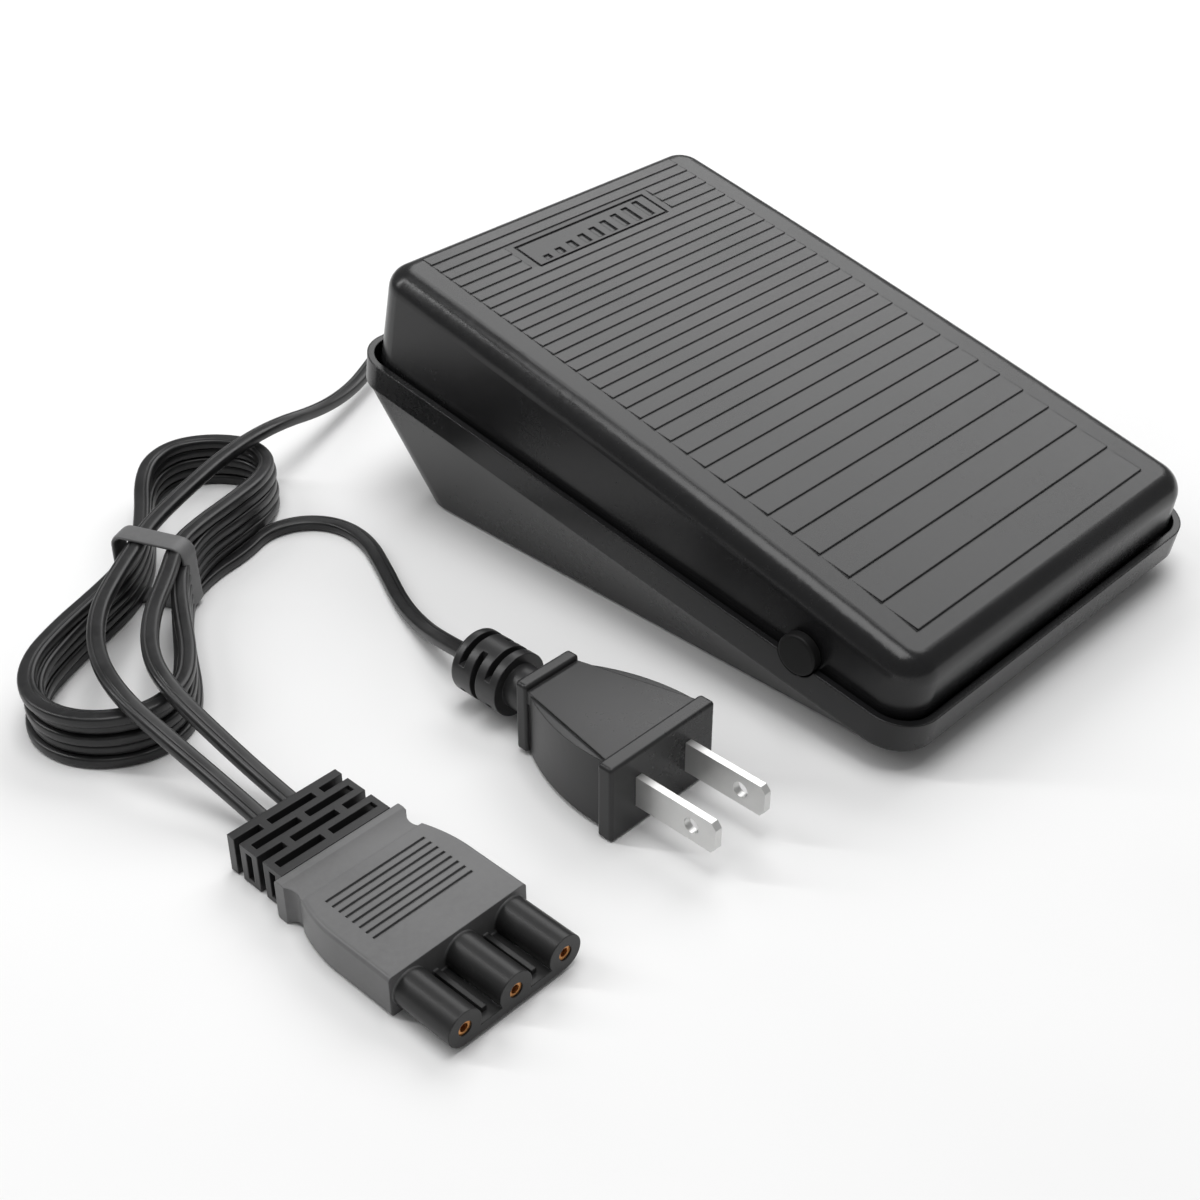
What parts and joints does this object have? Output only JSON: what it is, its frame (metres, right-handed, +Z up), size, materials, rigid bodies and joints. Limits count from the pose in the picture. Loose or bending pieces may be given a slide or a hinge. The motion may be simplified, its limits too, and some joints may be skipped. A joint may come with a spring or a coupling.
{
  "type": "sewing machine pedal",
  "caption": "Wedge-shaped foot speed control with a grooved hinged treadle in a rimmed tub, electronic control inside, tied flat cord, machine connector and wall plug",
  "frame": {"origin": "on the floor under the middle of the tub, cord left out", "axes": "+X across, +Y towards the high toe end, +Z up"},
  "size_m": [0.2004, 0.1884, 0.0548],
  "materials": {
    "treadle_plastic": "moulded ABS, fine satin texture",
    "case_plastic": "moulded ABS, satin",
    "cap_plastic": "matte moulded plastic",
    "foot_rubber": "matte rubber",
    "pin_steel": "ground steel rod",
    "spring_steel": "drawn spring wire",
    "white_nylon": "natural nylon",
    "control_plastic": "phenolic moulding",
    "board_laminate": "paper phenolic laminate",
    "screw_steel": "zinc-plated steel",
    "sink_aluminium": "bent sheet",
    "component_black": "epoxy moulding",
    "capacitor_plastic": "dipped film capacitor",
    "copper_wire": "enamelled copper winding",
    "resistor_ceramic": "lacquered ceramic",
    "terminal_plastic": "nylon terminal housing",
    "wire_insulation": "PVC insulation",
    "boot_rubber": "soft moulded PVC",
    "cord_jacket": "ribbed PVC cord jacket",
    "tie_plastic": "flexible strap",
    "connector_plastic": "moulded PVC, satin",
    "contact_brass": "formed brass",
    "plug_plastic": "moulded PVC, satin",
    "blade_metal": "nickel-plated brass"
  },
  "bodies": {
    "case": {"lower_case": "case_plastic", "rubber_feet": "foot_rubber", "hinge_pin": "pin_steel", "hinge_caps": "cap_plastic", "return_spring": "spring_steel", "speed_control": "control_plastic", "circuit_board": "board_laminate", "board_screws": "screw_steel", "heat_sink": "sink_aluminium", "power_triac": "component_black", "suppression_capacitor": "capacitor_plastic", "choke_bobbin": "component_black", "choke_winding": "copper_wire", "resistors": "resistor_ceramic", "terminal_block": "terminal_plastic", "inner_leads": "wire_insulation", "cord_clamp": "white_nylon", "clamp_screws": "screw_steel", "strain_relief": "boot_rubber", "pedal_lead": "cord_jacket", "connector_lead_left": "cord_jacket", "connector_lead_right": "cord_jacket", "plug_lead": "cord_jacket", "cord_hank": "cord_jacket", "cord_tie": "tie_plastic", "connector_body": "connector_plastic", "connector_boot": "boot_rubber", "socket_contacts": "contact_brass", "plug_body": "plug_plastic", "plug_boot": "boot_rubber", "plug_blades": "blade_metal"},
    "treadle": {"treadle_cover": "treadle_plastic"},
    "plunger": {"speed_plunger": "white_nylon"}
  },
  "joints": [
    {"name": "treadle_hinge", "type": "hinge", "parent": "case", "child": "treadle", "pos_m": [0, -0.049, 0.0167], "axis": [-1, 0, 0], "range_deg": [0, 3.2], "stiffness_Nm_per_rad": 18, "springref_deg": -1.72, "deforming": ["return_spring"]},
    {"name": "plunger_slide", "type": "slide", "parent": "case", "child": "plunger", "axis": [0, 0, -1], "range_m": [0, 0.0032]}
  ],
  "couplings": [
    {"joint": "plunger_slide", "follows": "treadle_hinge", "m_per_rad": 0.055}
  ]
}
